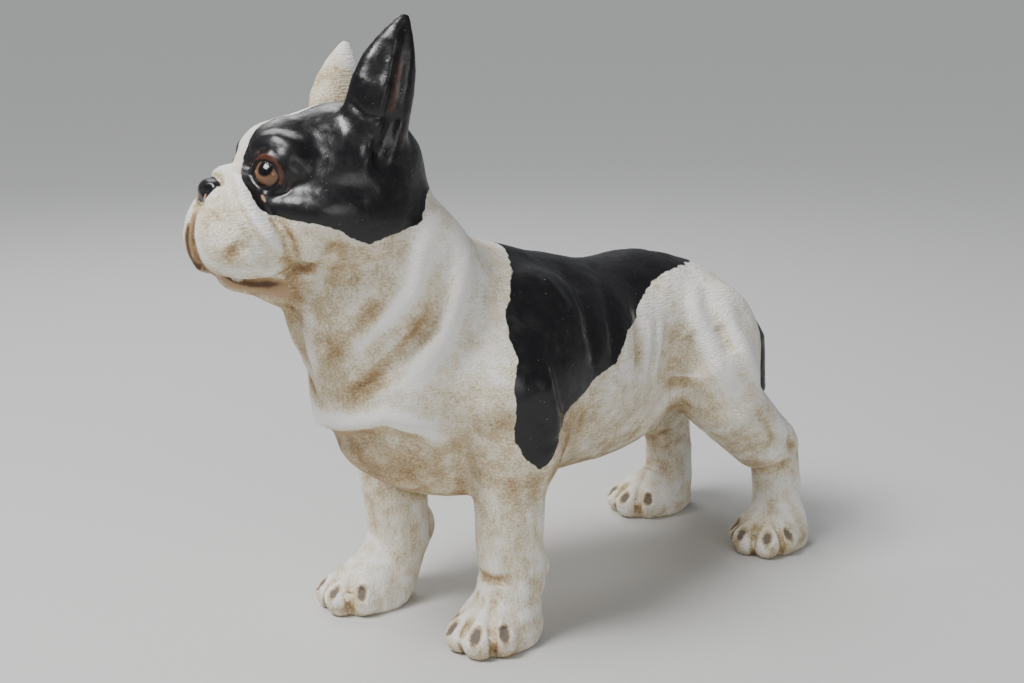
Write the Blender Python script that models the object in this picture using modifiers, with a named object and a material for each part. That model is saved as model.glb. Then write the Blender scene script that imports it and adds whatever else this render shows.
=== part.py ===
"""A standing bulldog garden statue, cast in one piece of resin.

The figure is modelled the way a sculptor builds it in clay. Lumps (rounded masses and limbs) are laid
on one another as a blockout, the blockout is remeshed to one skin, and the skin then settles onto the
smooth surface in which the lumps run together. Creases and ridges are pressed into that surface.

The dog faces -Y, its left side is +X, and it stands on Z = 0. Every place and size of the figure is in
design millimetres, which are shares of STATUE_HEIGHT: a design millimetre is a real one at 428 mm.
"""

import math

import bmesh
import bpy
import numpy as np
from mathutils import Euler, Matrix, Vector

# Driving dimensions
STATUE_HEIGHT = 0.428  # metres, from the ground to the tip of the higher ear
DESIGN_HEIGHT = 428.0  # the same height in design millimetres
MM = STATUE_HEIGHT / DESIGN_HEIGHT

HEAD_TURN = math.radians(-15.0)  # the head looks to the dog's right
HEAD_TILT = math.radians(-7.5)  # and leans to that side, with the left ear the higher
HEAD_CENTRE = (-12.0, -222.0, 322.0)

# Mesh sizes
BLOCKOUT_VOXEL = 5.0
SKIN_VOXEL = 2.6
TRIANGLES = 9600
FACE_SHARE = 0.3  # how much the thinning counts on the face, against 1 on the body
SOLE_REACH = 0.6  # a sole takes in what lies within this height of the ground

COLLECTION = "bulldog garden statue"
NAME = "bulldog_statue"
BODY_WHITE = (0.80, 0.76, 0.66, 1.0)


# Lumps

class Lump:
    """One mass of clay: a rounded body, or a limb that tapers from point to point."""

    def __init__(self, points, radii, blend, turn=None):
        self.points = np.array(points, float)
        self.radii = np.array(radii, float)
        self.blend = blend
        self.turn = np.eye(3) if turn is None else np.array(turn, float)
        self.is_limb = len(self.points) > 1
        self.middle = self.points.mean(axis=0)
        spread = np.linalg.norm(self.points - self.middle, axis=1).max()
        self.reach = spread + self.radii.max() + 3 * blend + 12

    def gap(self, p):
        """The distance from each point to this lump's surface, negative inside."""
        if not self.is_limb:
            q = (p - self.points[0]) @ self.turn
            inner = np.linalg.norm(q / self.radii, axis=1)
            slope = np.linalg.norm(q / self.radii**2, axis=1)
            return inner * (inner - 1) / np.maximum(slope, 1e-6)
        best = np.full(len(p), np.inf)
        for a, b, ra, rb in zip(self.points, self.points[1:], self.radii, self.radii[1:]):
            along = b - a
            t = np.clip((p - a) @ along / (along @ along), 0, 1)
            best = np.minimum(best, np.linalg.norm(p - a - t[:, None] * along, axis=1) - ra - t * (rb - ra))
        return best


def turned(x=0.0, y=0.0, z=0.0):
    """A rotation from three angles in degrees, as a 3 by 3 array."""
    return np.array(Euler([math.radians(v) for v in (x, y, z)]).to_matrix())


def mass(centre, radii, blend=14.0, turn=None):
    return Lump([centre], radii, blend, turn)


def limb(points, radii, blend=14.0):
    return Lump(points, radii, blend)


def mirrored(lump):
    """The same lump on the other side of the plane X = 0."""
    flip = np.diag([-1.0, 1.0, 1.0])
    return Lump(lump.points @ flip, lump.radii, lump.blend, flip @ lump.turn @ flip)


def pair(lump):
    return [lump, mirrored(lump)]


def torso():
    return [
        mass((0, -58, 176), (80, 116, 80)),
        mass((-2, -166, 186), (66, 66, 62), 24),
        mass((0, -112, 130), (54, 78, 38), 14),
        mass((-6, -166, 140), (46, 42, 27), 14),
        mass((0, 0, 144), (58, 88, 50), 16),
        mass((0, 50, 192), (58, 82, 56), 20),
        mass((0, 102, 181), (56, 56, 49), 16),
        mass((0, -84, 222), (38, 52, 32), 24),
        mass((0, 138, 150), (33, 38, 38), 14),
        mass((0, -94, 238), (26, 32, 28), 18),
    ]


def neck():
    thick_sides = mass((26, -178, 258), (34, 42, 48), 18)
    return [
        limb([(0, -128, 202), (-3, -164, 242), (-6, -192, 288)], [68, 58, 48], 22),
        mass((-6, -216, 246), (42, 34, 50), 20),
    ] + pair(thick_sides)


def shoulders():
    blade = mass((54, -102, 196), (31, 46, 60), 20, turned(x=-22, y=-8))
    upper_arm = limb([(62, -130, 180), (68, -116, 146)], [33, 27], 18)
    return pair(blade) + pair(upper_arm)


def foreleg(side, shaft_x, shaft_y, paw_x, paw_y):
    """A straight, heavy foreleg from the elbow down to the pastern above its paw."""
    return [
        limb(
            [
                (side * 64, shaft_y + 2, 140),
                (side * 61, shaft_y, 108),
                (shaft_x, shaft_y, 74),
                (shaft_x, shaft_y + 3, 46),
                ((shaft_x + paw_x) / 2, (shaft_y * 3 + paw_y) / 4, 26),
            ],
            [28, 24.5, 23.5, 23, 23],
            14,
        ),
        mass((shaft_x, shaft_y + 21, 50), (12, 12, 15), 6),
    ]


def hind_leg(side, paw_x, paw_y):
    """Thigh, shank stretched back to the hock, and an upright pastern."""
    return [
        mass((side * 42, 98, 167), (34, 48, 54), 14, turned(x=11)),
        limb([(side * 48, 94, 160), (side * 58, 102, 128), (side * 60, 141, 93)], [34, 28.5, 25.5], 12),
        limb([(side * 60, 159, 84), (side * 60, 165, 56), (paw_x, 163, 26)], [21, 19.5, 20.5], 8),
        mass((paw_x + side * 2, 167, 8), (21, 16, 15), 6),
    ]


TOES = ((-56, 20), (-19, 26), (19, 26), (56, 20))  # degrees to the side, and how far ahead its tip is


def toe_way(angle, swing):
    """Which way a toe points, level with the ground."""
    way = math.radians(angle + swing)
    return np.array([math.sin(way), -math.cos(way), 0])


def paw(x, y, swing):
    """The pad of a paw and its four toes, the middle two the longest."""
    lumps = [mass((x, y + 4, 10), (27, 33, 25), 8)]
    for angle, far in TOES:
        way = toe_way(angle, swing)
        root = np.array([x, y, 22]) + way * 6
        tip = np.array([x, y, 10.5]) + way * far
        lumps.append(limb([root, tip], [13, 11.8], 2.5))
    return lumps


def tail():
    return [limb([(0, 140, 198), (1, 168, 186), (4, 194, 156), (6, 200, 114)], [15, 14, 12, 9], 5)]


def head():
    """The head in its own frame, before it is turned and tilted on the neck."""
    lumps = [mass((0, 14, 6), (54, 54, 45))]
    lumps += [mass((0, -26, 16), (36, 26, 26), 10)]
    lumps += pair(mass((34, 2, -20), (27, 44, 34), 12))
    lumps += pair(mass((28, -30, 12), (18, 17, 16), 8))
    lumps += [mass((0, -50, -16), (37, 28, 30), 12)]
    lumps += pair(mass((17, -66.5, -31), (22, 21, 26), 14, turned(z=10)))
    lumps += pair(mass((27, -50, -37), (15, 26, 20), 8, turned(z=18)))
    lumps += [mass((0, -42, -57), (25, 30, 12), 5)]
    lumps += [mass((0, -22, -64), (20, 24, 16), 12)]
    lumps += [mass((0, -62, 5), (17, 9, 9), 5)]
    return lumps + nose_pad()


def nose_pad():
    """The broad nose and its two wings."""
    return [mass((0, -73, -2), (13, 7, 8), 2)] + pair(mass((8.5, -73, -3), (6, 7, 6.5), 2))


EYE = (29.5, -41.0, 5.8)
EYE_RADIUS = 10.5
GAZE = 38.0  # degrees outward from straight ahead


def eyes():
    """The eyeballs, which are laid in after the sockets are pressed."""
    return pair(mass(EYE, (EYE_RADIUS, EYE_RADIUS, EYE_RADIUS), 0.8))


def lid(angles, ring, ahead=4.2):
    """Points of an eyelid, which runs round the eyeball in a plane square to the gaze."""
    out = math.radians(GAZE)
    gaze = np.array([math.sin(out), -math.cos(out), 0])
    side = np.array([math.cos(out), math.sin(out), 0])
    points = []
    for angle in angles:
        turn = math.radians(angle)
        rise = np.array([0, 0, math.sin(turn) * ring])
        points.append(np.array(EYE) + gaze * ahead + side * math.cos(turn) * ring + rise)
    return points


def eyelids():
    """A thin roll of clay over each eye and a fuller one under it."""
    upper = limb(lid((178, 145, 110, 75, 40, 8), ring=11), [2.2, 2.5, 2.8, 2.8, 2.5, 2.2], 2.5)
    lower = limb(lid((186, 222, 270, 318, 354), ring=12, ahead=3.2), [2.2, 3.4, 4.6, 3.8, 2.2], 2.5)
    return pair(upper) + pair(lower)


def on_head(points):
    """Design points of the head's own frame, placed on the neck."""
    return np.asarray(points, float) @ HEAD_AXES.T + np.array(HEAD_CENTRE)


HEAD_AXES = np.array(Matrix.Rotation(HEAD_TURN, 3, "Z") @ Matrix.Rotation(HEAD_TILT, 3, "Y"))


def placed(lumps):
    """Lumps of the head's own frame, set on the neck."""
    return [Lump(on_head(one.points), one.radii, one.blend, HEAD_AXES @ one.turn) for one in lumps]


# Ears

EAR_BASE = (38.0, 25.0, 34.0)
EAR_TIPS = {1: (50.0, 46.0, 100.0), -1: (-46.0, 40.0, 93.0)}
EAR_HALF_WIDTH = 21.5
EAR_HALF_DEPTH = 16.0
EAR_BOW = 1.5  # how far the leaf bows forward half-way up
EAR_TWIST = 20.0  # degrees that the back of the leaf swings outward
EAR_PROFILE = ((0.0, 0.35, 0.55, 0.72, 0.86, 0.95, 1.0), (1.0, 0.94, 0.8, 0.6, 0.38, 0.22, 0.1))


class Ear:
    """An upright bat ear: a full leaf with a long slit down its outer side."""

    blend = 6.0

    def __init__(self, side):
        base = on_head([(side * EAR_BASE[0], EAR_BASE[1], EAR_BASE[2])])[0]
        tip = on_head([EAR_TIPS[side]])[0]
        self.base = base
        self.length = np.linalg.norm(tip - base)
        up = (tip - base) / self.length
        twist = math.radians(EAR_TWIST)
        broad = HEAD_AXES @ np.array([side * math.sin(twist), math.cos(twist), 0])
        broad -= up * (broad @ up)
        broad /= np.linalg.norm(broad)
        outer = np.cross(broad, up) * side
        self.axes = np.column_stack([broad, outer, up])
        self.middle = (base + tip) / 2
        self.reach = self.length

    def gap(self, p):
        along, out, up = ((p - self.base) @ self.axes).T
        along = along + self.bow(up / self.length)
        leaf = np.interp(up / self.length, *EAR_PROFILE)
        width = EAR_HALF_WIDTH * leaf
        depth = EAR_HALF_DEPTH * leaf
        shell = (np.hypot(along / width, out / depth) - 1) * depth
        return np.maximum(shell, np.maximum(up - self.length, -up - 16))

    def bow(self, height):
        height = np.clip(height, 0, 1)
        return EAR_BOW * 4 * height * (1 - height)

    def slit(self, back, out_share, heights):
        """A path up the ear, a share of the leaf's half width back of its middle line."""
        path = []
        for height in heights:
            leaf = np.interp(height, *EAR_PROFILE)
            out = EAR_HALF_DEPTH * leaf * math.sqrt(1 - back**2) * out_share
            along = EAR_HALF_WIDTH * leaf * back - self.bow(height)
            path.append(self.base + self.axes @ np.array([along, out, height * self.length]))
        return path


# The whole figure

# Each foreleg: side, middle of the shaft, middle of the paw, and how far the paw swings outward.
FORE_LEGS = ((1, 60.0, -124.0, 60.0, -137.0, 7.0), (-1, -54.0, -137.0, -54.0, -165.0, -10.0))
# Each hind leg: side, middle of the paw and its swing.
HIND_LEGS = ((1, 66.0, 150.0, 20.0), (-1, -57.0, 140.0, -16.0))


def figure():
    lumps = torso() + neck() + shoulders()
    for side, shaft_x, shaft_y, x, y, swing in FORE_LEGS:
        lumps += foreleg(side, shaft_x, shaft_y, x, y) + paw(x, y, swing)
    for side, x, y, swing in HIND_LEGS:
        lumps += hind_leg(side, x, y) + paw(x, y, swing)
    return lumps + tail() + placed(head()) + [Ear(1), Ear(-1)]


# Carving

class Stroke:
    """A groove pressed along a path, or a ridge raised along it where the depth is negative."""

    def __init__(self, path, width, depth):
        self.path = np.array(path, float)
        self.width = width
        self.depth = depth
        self.middle = self.path.mean(axis=0)
        self.reach = np.linalg.norm(self.path - self.middle, axis=1).max() + 3 * width

    def press(self, p):
        """How far the surface sinks at each point."""
        best = np.full(len(p), np.inf)
        lengths = np.linalg.norm(np.diff(self.path, axis=0), axis=1)
        run = lengths.sum()
        start = 0.0
        place = np.zeros(len(p))
        for a, b, length in zip(self.path, self.path[1:], lengths):
            t = np.clip((p - a) @ (b - a) / length**2, 0, 1)
            far = np.linalg.norm(p - a - t[:, None] * (b - a), axis=1)
            nearer = far < best
            best = np.where(nearer, far, best)
            place = np.where(nearer, (start + t * length) / run, place)
            start += length
        fade = 1 - np.abs(2 * place - 1) ** 4 * 0.85
        return self.depth * fade * np.exp(-((best / self.width) ** 2))


def both(path, width, depth):
    """The same stroke on the left side and on the right."""
    return [(path, width, depth), ([(-x, y, z) for x, y, z in path], width, depth)]


def head_strokes():
    nose_fold = [(13, -68, 10), (24, -67, 1), (35, -68, -9), (41, -65, -20), (44, -57, -36), (40, -48, -48)]
    fold_behind = [(18, -60, 11), (30, -61, 1), (37, -58, -14), (44, -50, -32), (42, -41, -46)]
    forehead = [(0, -58, 20), (0, -46, 38), (0, -22, 46), (0, 0, 52)]
    strokes = []
    # The mouth and the gap between the hanging lips
    strokes += both([(0, -84, -42), (9, -82, -48), (18, -72, -55), (26, -52, -59), (27, -37, -62)], 3.0, 6)
    strokes += both([(24, -52, -62), (25, -36, -64)], 5, 4)
    strokes += [([(0, -79, -8), (0, -84, -20), (0, -84, -32)], 2.6, 4)]
    strokes += [([(0, -86, -30), (0, -84, -48)], 4.5, 4)]
    # The folds of the muzzle and the jowl
    strokes += both(nose_fold, 3.8, 4.5)
    strokes += both(fold_behind, 5.5, -3.5)
    strokes += both([(14, -58, 14), (26, -55, 8), (38, -54, -4), (44, -48, -18)], 4, 3)
    strokes += both([(44, -62, -30), (44, -52, -40), (40, -43, -50)], 5, 2.5)
    strokes += both([(54, -8, -36), (46, -14, -50), (32, -20, -60), (20, -24, -72)], 5, 5)
    strokes += both([(50, -22, -34), (42, -27, -46), (30, -30, -56)], 7, -2.5)
    strokes += [([(-20, -60, 18), (0, -64, 19), (20, -60, 18)], 3.5, 2.5)]
    # Eye sockets, brows and the furrow of the forehead
    strokes += both(lid((180, 0), ring=2, ahead=5), 8, 3)
    strokes += both([(14, -50, 22), (24, -45, 27), (34, -37, 29), (46, -27, 24)], 7, -2.5)
    strokes += [(forehead, 7, 3)]
    # The nose's edge and nostrils
    strokes += both([(5.5, -81, -4), (10, -79, -1), (13, -75, 0)], 2.4, 4)
    strokes += both([(0, -72, 8), (11, -70, 6), (17, -68, -3), (13, -75, -11), (0, -81, -13)], 2.2, 2.2)
    strokes += [([(-13, -77, -11), (0, -83, -12), (13, -77, -11)], 2.6, 4.5)]
    # Where the ear's slit runs out on the cheek
    strokes += both([(50, 34, 40), (51, 28, 28), (53, 22, 15), (54, 18, 4)], 4.5, 5)
    strokes += both([(47, 22, 34), (51, 16, 20), (53, 12, 8)], 4, -2)
    return [(on_head(path), width, depth) for path, width, depth in strokes]


def body_strokes():
    neck_dip = [(51, -200, 284), (52, -206, 268), (46, -214, 248), (30, -228, 222), (8, -237, 206)]
    neck_roll = [(47, -178, 299), (54, -193, 282), (55, -202, 257), (44, -216, 238), (26, -230, 216)]
    collar_dip = [(59, -174, 273), (61, -181, 256), (55, -187, 234), (41, -209, 203), (14, -230, 178)]
    ledge = [(-44, -206, 158), (-14, -229, 162), (26, -226, 168), (45, -215, 174), (58, -188, 163)]
    below_ledge = [(-36, -204, 142), (-14, -216, 147), (12, -217, 153), (37, -210, 158), (47, -188, 150)]
    thigh_crest = [(44, 74, 226), (57, 64, 210), (64, 66, 190), (76, 72, 166), (80, 84, 146)]
    strokes = []
    # Folds of the neck, from the jaw down to the chest
    strokes += both(neck_dip, 7, 4.5)
    strokes += both(neck_roll, 7, -4.5)
    strokes += both(collar_dip, 6.5, 6)
    strokes += both([(52, -156, 281), (62, -166, 254), (62, -178, 226), (52, -202, 198)], 8, -4.5)
    strokes += both([(54, -136, 270), (66, -150, 246), (68, -160, 222)], 7, 3.5)
    # The dewlap's two ridges and the dip between them
    strokes += [([(9, -251, 256), (8, -248, 242), (4, -244, 220), (-5, -235, 196)], 4.5, -3)]
    strokes += [([(-18, -248, 250), (-17, -244, 235), (-17, -238, 216), (-14, -232, 196)], 4.5, -3)]
    strokes += [([(-5, -256, 254), (-5, -250, 236), (-8, -243, 212)], 4.5, 3.5)]
    # The ledge of the chest
    strokes += [(ledge, 5.5, -5.5), (below_ledge, 7.5, 6)]
    # The shoulder, the elbow and the ribs
    strokes += both([(58, -91, 258), (68, -90, 248), (76, -84, 232)], 6, -2)
    strokes += both([(83, -106, 223), (89, -106, 197), (91, -102, 176), (88, -95, 160)], 6, 4)
    strokes += both([(94, -122, 196), (98, -116, 172), (98, -112, 152)], 7, -4)
    strokes += both([(96, -108, 158), (92, -100, 142), (84, -100, 132)], 5, 3)
    strokes += both([(24, -46, 253), (58, -56, 240), (76, -64, 215), (80, -66, 190)], 7, 3)
    strokes += both([(13, -5, 247), (50, -26, 234), (66, -34, 214), (77, -44, 190)], 6, 2.5)
    strokes += both([(30, 20, 246), (58, 6, 222), (68, -8, 196), (70, -20, 170)], 6, 3)
    # The flank's small folds, its hollow and the fold to the knee
    strokes += both([(57, 13, 206), (64, 5, 191), (69, -4, 173)], 3.6, -2.5)
    strokes += both([(57, 26, 206), (61, 20, 188), (64, 12, 165)], 3.6, -2.5)
    strokes += both([(56, 46, 188), (58, 52, 172), (57, 52, 158)], 15, 7.5)
    strokes += both([(48, 6, 118), (58, 22, 133), (60, 50, 140), (64, 70, 136)], 6, 5)
    # The thigh and the hock
    strokes += both(thigh_crest, 7, -5)
    strokes += both([(60, 88, 212), (76, 90, 192), (84, 98, 170), (84, 116, 146)], 8, -3.5)
    strokes += both([(68, 80, 196), (78, 84, 174)], 7, 3)
    strokes += both([(76, 122, 112), (78, 150, 92), (76, 172, 74)], 6, 3)
    # The wrist's crease, the back and the tail
    strokes += both([(78, -136, 52), (62, -142, 49), (44, -138, 52)], 3.5, 2)
    strokes += [([(0, 60, 250), (0, 110, 236), (0, 150, 214)], 7, 2)]
    strokes += both([(15, 150, 205), (18, 166, 186), (18, 180, 160), (16, 180, 128)], 5, 4)
    return strokes


GROOVE = ((10, 36), (21, 28), (29, 15), (30, 3))  # ahead of the paw's middle, and above the ground


def toe_strokes():
    """The grooves between the toes, which run up on to the back of the paw."""
    fore = [(x, y, swing) for _, _, _, x, y, swing in FORE_LEGS]
    hind = [(x, y, swing) for _, x, y, swing in HIND_LEGS]
    strokes = []
    for x, y, swing in fore + hind:
        for angle in (-37.5, 0, 37.5):
            way = toe_way(angle, swing)
            middle = np.array([x, y, 0])
            groove = [middle + way * far + np.array([0, 0, z]) for far, z in GROOVE]
            strokes.append((groove, 2.8, 3.2))
    return strokes


def ear_strokes(ear):
    heights = (0.0, 0.25, 0.5, 0.75, 0.94)
    return [
        (ear.slit(0.42, 1.0, heights), 4.2, 5),
        (ear.slit(0.12, 1.0, heights), 3.4, -1.6),
        (ear.slit(-0.25, 1.0, (0.35, 0.55, 0.75)), 8, 2.5),
    ]


def carving():
    strokes = head_strokes() + body_strokes() + toe_strokes() + ear_strokes(Ear(1)) + ear_strokes(Ear(-1))
    return [Stroke(path, width, depth) for path, width, depth in strokes]


def run_together(a, b, blend):
    """The smaller of two distances, rounded where the two are alike."""
    h = np.clip(0.5 + 0.5 * (b - a) / blend, 0, 1)
    return b * (1 - h) + a * h - blend * h * (1 - h)


def near(p, thing):
    return np.linalg.norm(p - thing.middle, axis=1) < thing.reach


def clay(p, lumps, strokes=(), last=()):
    """The distance from each point to the surface of the lumps run together, with the carving in it."""
    total = np.full(len(p), 60.0)
    for lump in lumps:
        touched = near(p, lump)
        if touched.any():
            total[touched] = run_together(total[touched], lump.gap(p[touched]), lump.blend)
    for stroke in strokes:
        touched = near(p, stroke)
        if touched.any():
            total[touched] += stroke.press(p[touched])
    for lump in last:
        touched = near(p, lump)
        if touched.any():
            total[touched] = run_together(total[touched], lump.gap(p[touched]), lump.blend)
    return np.maximum(total, -p[:, 2])


# Mesh work

def blockout(lumps):
    """Plain spheres and cones at the lumps' places, as one loose mesh in design millimetres."""
    mesh = bmesh.new()
    for lump in lumps:
        if isinstance(lump, Ear):
            shape = Matrix.Translation(Vector(lump.base + lump.axes[:, 2] * lump.length * 0.45))
            shape = shape @ Matrix(lump.axes.tolist()).to_4x4()
            shape = shape @ Matrix.Diagonal((EAR_HALF_WIDTH, EAR_HALF_DEPTH, lump.length * 0.6, 1))
            bmesh.ops.create_icosphere(mesh, subdivisions=4, radius=1, matrix=shape)
            continue
        if not lump.is_limb:
            shape = Matrix.Translation(Vector(lump.points[0])) @ Matrix(lump.turn.tolist()).to_4x4()
            shape = shape @ Matrix.Diagonal((*lump.radii, 1))
            bmesh.ops.create_icosphere(mesh, subdivisions=4, radius=1, matrix=shape)
            continue
        for point, radius in zip(lump.points, lump.radii):
            place = Matrix.Translation(Vector(point))
            bmesh.ops.create_icosphere(mesh, subdivisions=3, radius=radius, matrix=place)
        for a, b, ra, rb in zip(lump.points, lump.points[1:], lump.radii, lump.radii[1:]):
            a, b = Vector(a), Vector(b)
            shape = Matrix.Translation((a + b) / 2) @ (b - a).to_track_quat("Z", "Y").to_matrix().to_4x4()
            bmesh.ops.create_cone(
                mesh, cap_ends=True, segments=24, radius1=ra, radius2=rb, depth=(b - a).length, matrix=shape
            )
    return mesh


def remeshed(obj, voxel):
    """Applies a voxel remesh to the object."""
    modifier = obj.modifiers.new("skin", "REMESH")
    modifier.mode = "VOXEL"
    modifier.voxel_size = voxel
    apply_modifiers(obj)


def apply_modifiers(obj):
    graph = bpy.context.evaluated_depsgraph_get()
    mesh = bpy.data.meshes.new_from_object(obj.evaluated_get(graph))
    old = obj.data
    obj.modifiers.clear()
    obj.data = mesh
    bpy.data.meshes.remove(old)


def points_of(obj):
    co = np.empty(len(obj.data.vertices) * 3, np.float32)
    obj.data.vertices.foreach_get("co", co)
    return co.reshape(-1, 3).astype(float)


def set_points(obj, points):
    obj.data.vertices.foreach_set("co", points.astype(np.float32).ravel())
    obj.data.update()


def settle(obj, surface, steps):
    """Moves every vertex down the surface's slope until it lies on the surface."""
    p = points_of(obj)
    step = 0.5
    corners = np.array([(1, 1, 1), (1, -1, -1), (-1, 1, -1), (-1, -1, 1)], float)
    for _ in range(steps):
        gap = surface(p)
        slope = sum(corner * surface(p + corner * step)[:, None] for corner in corners)
        slope /= np.maximum(np.linalg.norm(slope, axis=1), 1e-9)[:, None]
        p -= slope * np.clip(gap, -8, 8)[:, None] * 0.8
    set_points(obj, p)


def thinned(obj, triangles):
    """Thins the mesh to a number of triangles, most of them kept where the surface bends most."""
    obj.data.calc_loop_triangles()
    modifier = obj.modifiers.new("thin", "DECIMATE")
    modifier.ratio = triangles / len(obj.data.loop_triangles)
    modifier.use_collapse_triangulate = True
    head = obj.vertex_groups.new(name="face kept finer")
    p = points_of(obj)
    far = np.linalg.norm(p - on_head([(0, -50, -10)])[0], axis=1)
    weight = np.clip(far / 90, FACE_SHARE, 1.0)
    for share in np.unique(weight.round(1)):
        head.add(np.flatnonzero(weight.round(1) == share).tolist(), float(share), "REPLACE")
    modifier.vertex_group = head.name
    modifier.vertex_group_factor = 1.0
    apply_modifiers(obj)
    obj.vertex_groups.clear()


def flat_soles(obj):
    """Lays the undersides of the paws flat on the ground."""
    p = points_of(obj)
    p[p[:, 2] < SOLE_REACH, 2] = 0.0
    set_points(obj, p)


def cast():
    """The whole figure as one closed skin, in design millimetres."""
    lumps = figure()
    strokes = carving()
    eyes_and_lids = placed(eyes() + eyelids())

    def surface(p):
        return clay(p, lumps, strokes, eyes_and_lids)

    mesh = bpy.data.meshes.new(NAME)
    loose = blockout(lumps + eyes_and_lids)
    loose.to_mesh(mesh)
    loose.free()
    statue = bpy.data.objects.new(NAME, mesh)
    collection = bpy.data.collections.new(COLLECTION)
    bpy.context.scene.collection.children.link(collection)
    collection.objects.link(statue)
    remeshed(statue, BLOCKOUT_VOXEL)
    settle(statue, surface, 4)
    remeshed(statue, SKIN_VOXEL)
    settle(statue, surface, 4)
    flat_soles(statue)
    thinned(statue, TRIANGLES)
    flat_soles(statue)
    return statue


def paint(obj, colour, roughness):
    """One plain finish all over, with smooth shading."""
    material = bpy.data.materials.new("painted_resin")
    material.use_nodes = True
    shader = material.node_tree.nodes["Principled BSDF"]
    shader.inputs["Base Color"].default_value = colour
    shader.inputs["Roughness"].default_value = roughness
    material.diffuse_color = colour
    obj.data.materials.clear()
    obj.data.materials.append(material)
    obj.data.shade_smooth()


def main():
    """Builds the statue in metres, its box centred on the origin and its soles on Z = 0."""
    for obj in list(bpy.data.objects):
        bpy.data.objects.remove(obj)
    statue = cast()
    p = points_of(statue) * MM
    middle = (p.min(axis=0) + p.max(axis=0)) / 2
    middle[2] = p[:, 2].min()
    set_points(statue, p - middle)
    paint(statue, BODY_WHITE, 0.55)
    size = p.max(axis=0) - p.min(axis=0)
    print("statue", [round(v, 4) for v in size], "moved", [round(-v, 5) for v in middle])
    print("triangles", len(statue.data.polygons), "vertices", len(p))
    return middle


if __name__ == "__main__":
    main()
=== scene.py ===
# %% [markdown]
# # A bulldog garden statue
# This notebook gives the cast statue its looks. The statue is one casting: a soft clay figure was
# modelled by hand, a mould was taken from it, resin was poured, and the cast was painted. The cells
# follow that order, so the figure is first built in clay and then painted.

import math

import bmesh
import bpy
import numpy as np
from mathutils import Euler, Matrix, Vector, noise


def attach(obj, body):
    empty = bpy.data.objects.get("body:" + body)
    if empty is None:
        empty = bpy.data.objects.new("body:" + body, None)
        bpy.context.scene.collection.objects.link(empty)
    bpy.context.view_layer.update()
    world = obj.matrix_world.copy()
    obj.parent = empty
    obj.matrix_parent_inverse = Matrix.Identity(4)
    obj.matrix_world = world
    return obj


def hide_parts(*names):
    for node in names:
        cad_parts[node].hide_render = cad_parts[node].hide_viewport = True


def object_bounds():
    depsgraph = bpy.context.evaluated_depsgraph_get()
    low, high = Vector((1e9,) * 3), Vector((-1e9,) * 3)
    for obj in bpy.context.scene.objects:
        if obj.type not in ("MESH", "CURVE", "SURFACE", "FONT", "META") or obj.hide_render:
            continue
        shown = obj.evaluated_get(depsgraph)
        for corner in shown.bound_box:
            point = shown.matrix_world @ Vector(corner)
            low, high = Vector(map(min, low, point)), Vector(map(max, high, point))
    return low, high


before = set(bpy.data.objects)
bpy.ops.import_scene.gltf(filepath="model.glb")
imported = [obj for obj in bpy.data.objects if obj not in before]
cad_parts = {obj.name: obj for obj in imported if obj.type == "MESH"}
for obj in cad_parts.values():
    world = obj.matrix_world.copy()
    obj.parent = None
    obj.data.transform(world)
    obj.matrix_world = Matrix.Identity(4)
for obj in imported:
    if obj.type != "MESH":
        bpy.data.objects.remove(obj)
cad_low, cad_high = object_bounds()
print("the packed statue measures", [round(h - l, 3) for l, h in zip(cad_low, cad_high)], "metres")

# %% [markdown]
# ## Sizes
# The dog looks towards -Y and its left side is +X. Every place on the figure is in design
# millimetres, which a change of the statue's height would stretch.

# %% Sizes
STATUE_HEIGHT = 0.428  # metres, from the ground to the tip of the higher ear
DESIGN_HEIGHT = 428.0  # the same height in design millimetres
MM = STATUE_HEIGHT / DESIGN_HEIGHT
HEAD_TURN = math.radians(-15.0)  # the head looks to the dog's right
HEAD_TILT = math.radians(-7.5)  # and leans to that side, with the left ear the higher
HEAD_CENTRE = (-12.0, -222.0, 322.0)
BLOCKOUT_VOXEL = 5.0
SKIN_VOXEL = 1.6
SKIN_TRIANGLES = 190000
SOLE_REACH = 0.6  # a sole takes in what lies within this height of the ground
FACE_SHARE = 0.3  # how much the thinning counts on the face, against 1 on the body
print("one design millimetre is", round(MM * 1000, 3), "millimetres")

# %% [markdown]
# ## Lumps of clay
# A modeller starts a figure with lumps and rolls of clay on one another. A lump here is a rounded
# mass or a tapering limb, and it knows how far any point is from its surface.

# %% Lumps of clay
class Lump:
    """One mass of clay: a rounded body, or a limb that tapers from point to point."""

    def __init__(self, points, radii, blend, turn=None):
        self.points = np.array(points, float)
        self.radii = np.array(radii, float)
        self.blend = blend
        self.turn = np.eye(3) if turn is None else np.array(turn, float)
        self.is_limb = len(self.points) > 1
        self.middle = self.points.mean(axis=0)
        spread = np.linalg.norm(self.points - self.middle, axis=1).max()
        self.reach = spread + self.radii.max() + 3 * blend + 12

    def gap(self, p):
        """The distance from each point to this lump's surface, negative inside."""
        if not self.is_limb:
            q = (p - self.points[0]) @ self.turn
            inner = np.linalg.norm(q / self.radii, axis=1)
            slope = np.linalg.norm(q / self.radii**2, axis=1)
            return inner * (inner - 1) / np.maximum(slope, 1e-6)
        best = np.full(len(p), np.inf)
        for a, b, ra, rb in zip(self.points, self.points[1:], self.radii, self.radii[1:]):
            along = b - a
            t = np.clip((p - a) @ along / (along @ along), 0, 1)
            best = np.minimum(best, np.linalg.norm(p - a - t[:, None] * along, axis=1) - ra - t * (rb - ra))
        return best


def turned(x=0.0, y=0.0, z=0.0):
    """A rotation from three angles in degrees, as a 3 by 3 array."""
    return np.array(Euler([math.radians(v) for v in (x, y, z)]).to_matrix())


def mass(centre, radii, blend=14.0, turn=None):
    return Lump([centre], radii, blend, turn)


def limb(points, radii, blend=14.0):
    return Lump(points, radii, blend)


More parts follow.
